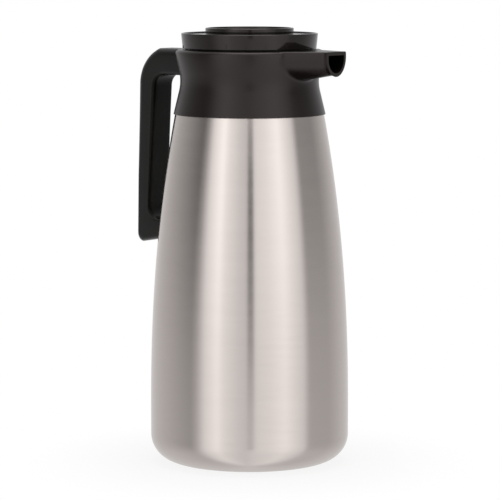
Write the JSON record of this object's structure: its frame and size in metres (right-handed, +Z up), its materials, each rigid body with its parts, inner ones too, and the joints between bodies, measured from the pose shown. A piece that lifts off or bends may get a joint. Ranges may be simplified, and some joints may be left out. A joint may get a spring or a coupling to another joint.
{
  "type": "thermal carafe",
  "caption": "Thermal carafe with a tapered brushed steel vacuum body, black collar with a pouring spout, black strap handle and a round turning lid with a raised brewing funnel.",
  "frame": {"origin": "on the table under the centre of the round base", "axes": "+X towards the spout, with the handle on -X; +Z up through the lid; +Y to the left of someone who holds the handle"},
  "size_m": [0.1585, 0.13, 0.285],
  "materials": {
    "steel_brushed": "satin, brushed round the body",
    "steel_inner": "plain drawn steel",
    "screw_steel": "bright",
    "collar_black": "satin moulded plastic",
    "handle_black": "satin moulded plastic",
    "lid_black": "smooth moulded plastic",
    "base_black": "matte moulded plastic",
    "pad_rubber": "matte rubber",
    "seal_silicone": "translucent white silicone",
    "foam": "closed-cell foam",
    "float_white": "smooth white plastic"
  },
  "bodies": {
    "pitcher": {"outer_shell": "steel_brushed", "inner_flask": "steel_inner", "base_plate": "steel_inner", "vacuum_plug": "steel_inner", "getter": "steel_inner", "base_cap": "base_black", "foot_pad": "pad_rubber", "collar": "collar_black", "spout": "collar_black", "neck_sleeve": "collar_black", "neck_gasket": "seal_silicone", "handle_shell": "handle_black", "handle_cover": "handle_black", "handle_upper_screws": "screw_steel", "handle_stud": "screw_steel", "handle_lower_screw": "screw_steel", "handle_screw_cap": "handle_black"},
    "seal_ring": {"lid_seal": "seal_silicone"},
    "lid": {"lid_cap": "lid_black", "brew_funnel": "lid_black", "stopper": "base_black", "stopper_gasket": "seal_silicone", "lid_insulation": "foam", "float_cage": "base_black"},
    "float": {"float_ball": "float_white"}
  },
  "joints": [
    {"name": "lid_lift", "type": "slide", "parent": "pitcher", "child": "seal_ring", "axis": [0, 0, 1], "range_m": [0, 0.05]},
    {"name": "lid_turn", "type": "hinge", "parent": "seal_ring", "child": "lid", "pos_m": [0, 0, 0.275], "axis": [0, 0, 1], "range_deg": [0, 90]},
    {"name": "float_rise", "type": "slide", "parent": "lid", "child": "float", "axis": [0, 0, 1], "range_m": [0, 0.004]}
  ]
}
